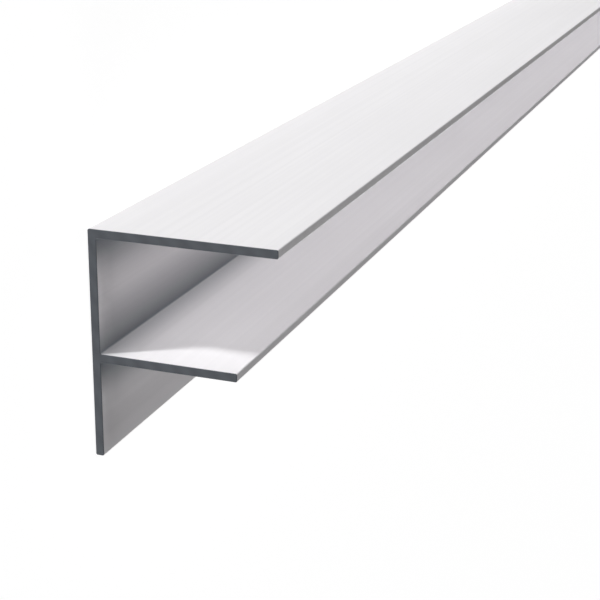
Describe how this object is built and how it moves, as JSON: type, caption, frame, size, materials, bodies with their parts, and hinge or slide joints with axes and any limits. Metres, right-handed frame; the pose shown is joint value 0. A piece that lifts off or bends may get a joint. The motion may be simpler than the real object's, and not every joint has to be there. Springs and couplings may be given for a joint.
{
  "type": "aluminium f profile",
  "caption": "Straight length of extruded aluminium trim with an F-shaped section: parallel flanges on a flat web hold a panel's edge, and the web's free leg fixes it down.",
  "frame": {"origin": "on the floor under the middle of the web's back, half-way along the length", "axes": "+X across the web from the top flange to the fixing leg's free edge, +Y along the length, +Z the way the flanges stand"},
  "size_m": [0.04, 1, 0.033],
  "materials": {
    "aluminium": "satin"
  },
  "bodies": {
    "root": {"f_profile": "aluminium"}
  },
  "joints": []
}
